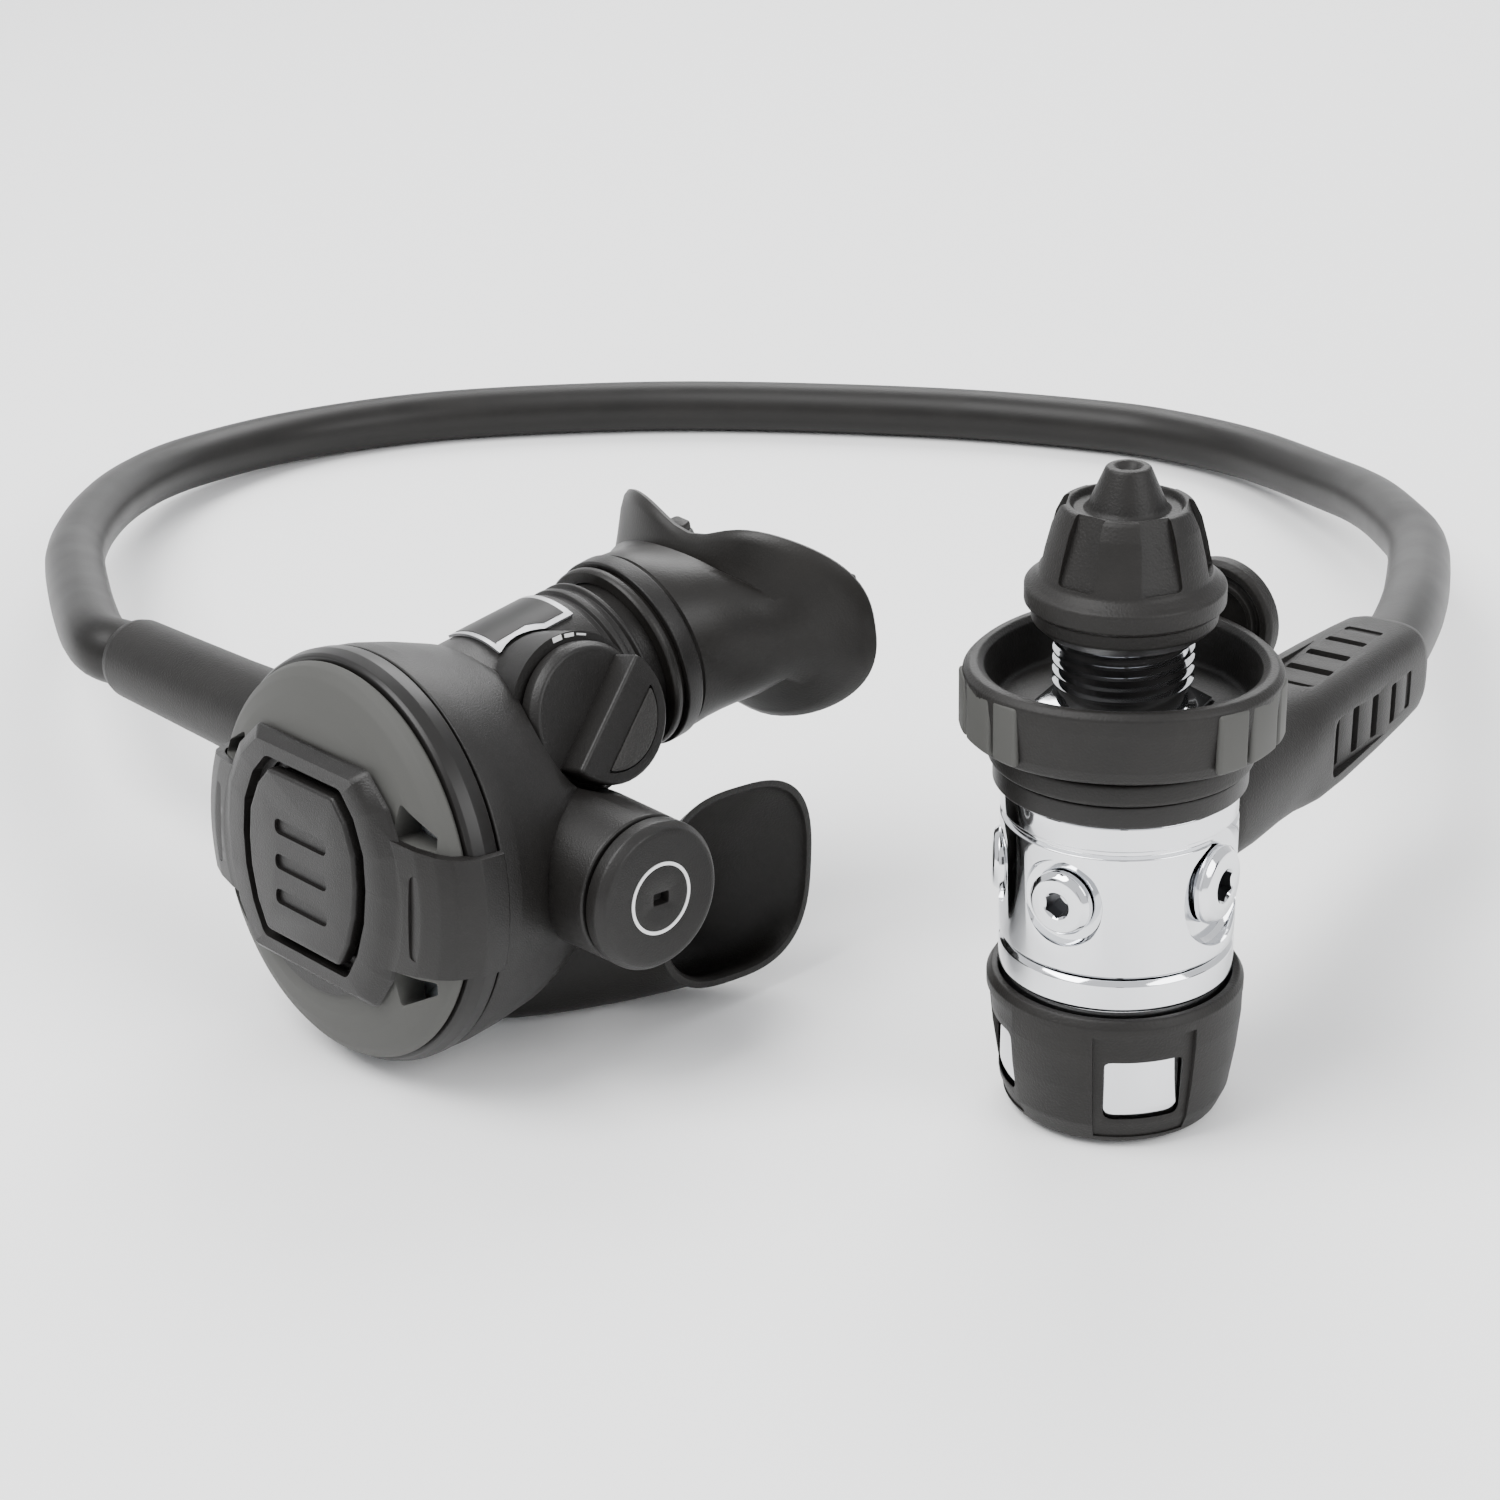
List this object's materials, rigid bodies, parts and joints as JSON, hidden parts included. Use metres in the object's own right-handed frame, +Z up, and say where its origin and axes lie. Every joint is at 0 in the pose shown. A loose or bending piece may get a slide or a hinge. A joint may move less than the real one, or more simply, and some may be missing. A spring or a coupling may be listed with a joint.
{
  "type": "scuba regulator set",
  "caption": "Balanced piston first stage with a threaded cylinder connector, one low-pressure hose and a demand second stage with a mouthpiece.",
  "frame": {"origin": "under the middle of the two stages' bounding box, on the surface that the set stands on", "axes": "+Z up along the first stage's axis; +X from the second stage to the first; the front cover faces -Y and -X"},
  "size_m": [0.324, 0.4032, 0.1141],
  "materials": {
    "brass": "plain",
    "chrome": "polished chrome",
    "black_rubber": "matte moulded",
    "black_plastic": "satin moulded",
    "steel": "plain",
    "silicone": "translucent silicone",
    "grained_plastic": "fine grained",
    "label_metal": "satin",
    "seat_polymer": "plain"
  },
  "bodies": {
    "root": {"balance_cylinder": "brass", "barrel_nut": "chrome", "cap_shroud": "black_rubber", "case": "black_plastic", "cover_ring": "black_plastic", "diaphragm": "silicone", "din_oring": "black_rubber", "din_retainer": "chrome", "end_cap": "black_plastic", "exhaust_tee": "black_rubber", "ferrule_first": "chrome", "ferrule_second": "chrome", "filter_clip": "steel", "first_stage_body": "chrome", "front_cover": "grained_plastic", "high_plug": "chrome", "hose": "black_rubber", "hose_fitting": "chrome", "hose_protector": "black_rubber", "hose_sleeve": "black_rubber", "label_plate": "label_metal", "lp_plug_1": "chrome", "lp_plug_2": "chrome", "lp_plug_3": "chrome", "mouthpiece": "black_rubber", "mouthpiece_tie": "black_plastic", "neck_ring": "black_plastic", "orifice": "steel", "piston_cap": "chrome", "piston_spring": "steel", "poppet_spring": "steel", "purge_frame": "black_plastic", "purge_spring": "steel", "retainer_oring": "black_rubber", "sintered_filter": "brass", "stem_oring": "black_rubber", "strap_ring": "black_rubber", "strap_tab": "black_rubber", "swivel_nut": "chrome", "valve_barrel": "chrome"},
    "wheel": {"handwheel": "black_rubber", "wheel_insert": "chrome"},
    "cap": {"dust_cap": "black_rubber"},
    "piston_group": {"piston": "steel", "piston_head_oring": "black_rubber", "piston_seat": "seat_polymer"},
    "purge": {"purge_button": "black_plastic"},
    "diaphragm_centre": {"diaphragm_plate": "steel"},
    "lever": {"demand_lever": "steel"},
    "poppet_group": {"poppet": "steel", "poppet_seat": "seat_polymer"},
    "venturi": {"venturi_knob": "black_plastic", "knob_inset": "grained_plastic", "venturi_vane": "black_plastic"},
    "exhaust_flap": {"exhaust_valve": "silicone"}
  },
  "joints": [
    {"name": "piston_lift", "type": "slide", "parent": "root", "child": "piston_group", "axis": [0, 0, 1], "range_m": [0, 0.0012], "stiffness_N_per_m": 4000, "springref_m": -0.001, "deforming": ["piston_spring"]},
    {"name": "handwheel_spin", "type": "hinge", "parent": "root", "child": "wheel", "pos_m": [0.0648, -0.0441, 0.075], "axis": [0, 0, 1], "continuous": true},
    {"name": "dust_cap_pull", "type": "slide", "parent": "wheel", "child": "cap", "axis": [0, 0, 1], "range_m": [0, 0.03]},
    {"name": "purge_press", "type": "slide", "parent": "root", "child": "purge", "axis": [0.7403, 0.6666, -0.0872], "range_m": [0, 0.002], "stiffness_N_per_m": 900, "springref_m": -0.001},
    {"name": "diaphragm_travel", "type": "slide", "parent": "root", "child": "diaphragm_centre", "axis": [0.7403, 0.6666, -0.0872], "range_m": [0, 0.0021]},
    {"name": "lever_pivot", "type": "hinge", "parent": "root", "child": "lever", "pos_m": [-0.04052, -0.02304, 0.03816], "axis": [0.0531, 0.0713, 0.996], "range_deg": [-9.5, 0]},
    {"name": "poppet_travel", "type": "slide", "parent": "root", "child": "poppet_group", "axis": [0.6702, -0.742, 0.0174], "range_m": [0, 0.0011]},
    {"name": "venturi_turn", "type": "hinge", "parent": "root", "child": "venturi", "pos_m": [-0.03804, 0.00183, 0.05442], "axis": [0.6631, -0.7027, 0.2578], "range_deg": [0, 90]},
    {"name": "exhaust_lift", "type": "slide", "parent": "root", "child": "exhaust_flap", "axis": [-0.0531, -0.0713, -0.996], "range_m": [0, 0.001], "stiffness_N_per_m": 60, "springref_m": -0.0005}
  ],
  "couplings": [
    {"joint": "diaphragm_travel", "follows": "purge_press", "ratio": 1},
    {"joint": "lever_pivot", "follows": "purge_press", "rad_per_m": -78},
    {"joint": "poppet_travel", "follows": "purge_press", "ratio": 0.5}
  ]
}
